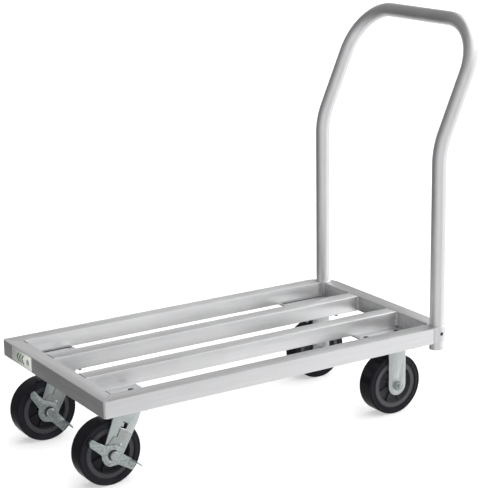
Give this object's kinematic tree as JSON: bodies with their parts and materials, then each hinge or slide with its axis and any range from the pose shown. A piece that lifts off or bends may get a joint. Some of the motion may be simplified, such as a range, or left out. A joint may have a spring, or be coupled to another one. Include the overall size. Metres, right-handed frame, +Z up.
{
  "type": "platform truck",
  "caption": "Slatted aluminium platform truck with braked swivel casters at the front, rigid casters at the back and a bent tube push handle.",
  "frame": {"origin": "on the floor, under the middle of the truck's overall length and width", "axes": "+X towards the handle, +Y away from the brake levers' faces, +Z up"},
  "size_m": [1.0784, 0.521, 0.9576],
  "materials": {
    "aluminium": "fine brushed, satin",
    "zinc": "bright zinc plating on pressed steel",
    "rubber": "smooth moulded rubber, slightly glossy",
    "hub_plastic": "moulded, satin",
    "label": "plain silver film"
  },
  "bodies": {
    "swivel_near": {"swivel_fork_near": "zinc", "axle_front_near": "zinc", "axle_nut_front_near": "zinc", "bush_front_near": "zinc", "brake_leaf_near": "zinc"},
    "wheel_front_near": {"hub_front_near": "hub_plastic", "tread_front_near": "rubber"},
    "brake_near": {"brake_lever_near": "zinc"},
    "wheel_rear_near": {"hub_rear_near": "hub_plastic", "tread_rear_near": "rubber"},
    "swivel_far": {"swivel_fork_far": "zinc", "axle_front_far": "zinc", "axle_nut_front_far": "zinc", "bush_front_far": "zinc", "brake_leaf_far": "zinc"},
    "wheel_front_far": {"hub_front_far": "hub_plastic", "tread_front_far": "rubber"},
    "brake_far": {"brake_lever_far": "zinc"},
    "wheel_rear_far": {"hub_rear_far": "hub_plastic", "tread_rear_far": "rubber"},
    "frame": {"axle_nut_rear_far": "zinc", "axle_nut_rear_near": "zinc", "axle_rear_far": "zinc", "axle_rear_near": "zinc", "bush_rear_far": "zinc", "bush_rear_near": "zinc", "caster_plate_far": "zinc", "caster_plate_near": "zinc", "corner_plate_front_far": "aluminium", "corner_plate_front_near": "aluminium", "corner_plate_rear_far": "aluminium", "corner_plate_rear_near": "aluminium", "deck_label": "label", "deck_slat_far": "aluminium", "deck_slat_near": "aluminium", "end_rail_front": "aluminium", "end_rail_rear": "aluminium", "handle": "aluminium", "handle_socket_far": "aluminium", "handle_socket_near": "aluminium", "kingpin_far": "zinc", "kingpin_near": "zinc", "lock_screw_far": "zinc", "lock_screw_near": "zinc", "rigid_fork_far": "zinc", "rigid_fork_near": "zinc", "rigid_plate_far": "zinc", "rigid_plate_near": "zinc", "side_rail_far": "aluminium", "side_rail_near": "aluminium", "swivel_race_far": "zinc", "swivel_race_near": "zinc", "weld_end_far": "aluminium", "weld_end_near": "aluminium", "weld_side_far": "aluminium", "weld_side_near": "aluminium"}
  },
  "joints": [
    {"name": "swivel_turn_near", "type": "hinge", "parent": "frame", "child": "swivel_near", "pos_m": [-0.42582, -0.1608, 0.171], "axis": [0, 0, 1], "continuous": true},
    {"name": "wheel_spin_front_near", "type": "hinge", "parent": "swivel_near", "child": "wheel_front_near", "pos_m": [-0.46422, -0.1608, 0.075], "axis": [0, 1, 0], "continuous": true},
    {"name": "brake_press_near", "type": "hinge", "parent": "swivel_near", "child": "brake_near", "pos_m": [-0.46422, -0.1608, 0.075], "axis": [0, 1, 0], "range_deg": [0, 15]},
    {"name": "wheel_spin_rear_near", "type": "hinge", "parent": "frame", "child": "wheel_rear_near", "pos_m": [0.31418, -0.1608, 0.075], "axis": [0, 1, 0], "continuous": true},
    {"name": "swivel_turn_far", "type": "hinge", "parent": "frame", "child": "swivel_far", "pos_m": [-0.42582, 0.1608, 0.171], "axis": [0, 0, 1], "continuous": true},
    {"name": "wheel_spin_front_far", "type": "hinge", "parent": "swivel_far", "child": "wheel_front_far", "pos_m": [-0.46422, 0.1608, 0.075], "axis": [0, 1, 0], "continuous": true},
    {"name": "brake_press_far", "type": "hinge", "parent": "swivel_far", "child": "brake_far", "pos_m": [-0.46422, 0.1608, 0.075], "axis": [0, 1, 0], "range_deg": [-15, 0]},
    {"name": "wheel_spin_rear_far", "type": "hinge", "parent": "frame", "child": "wheel_rear_far", "pos_m": [0.31418, 0.1608, 0.075], "axis": [0, 1, 0], "continuous": true}
  ]
}
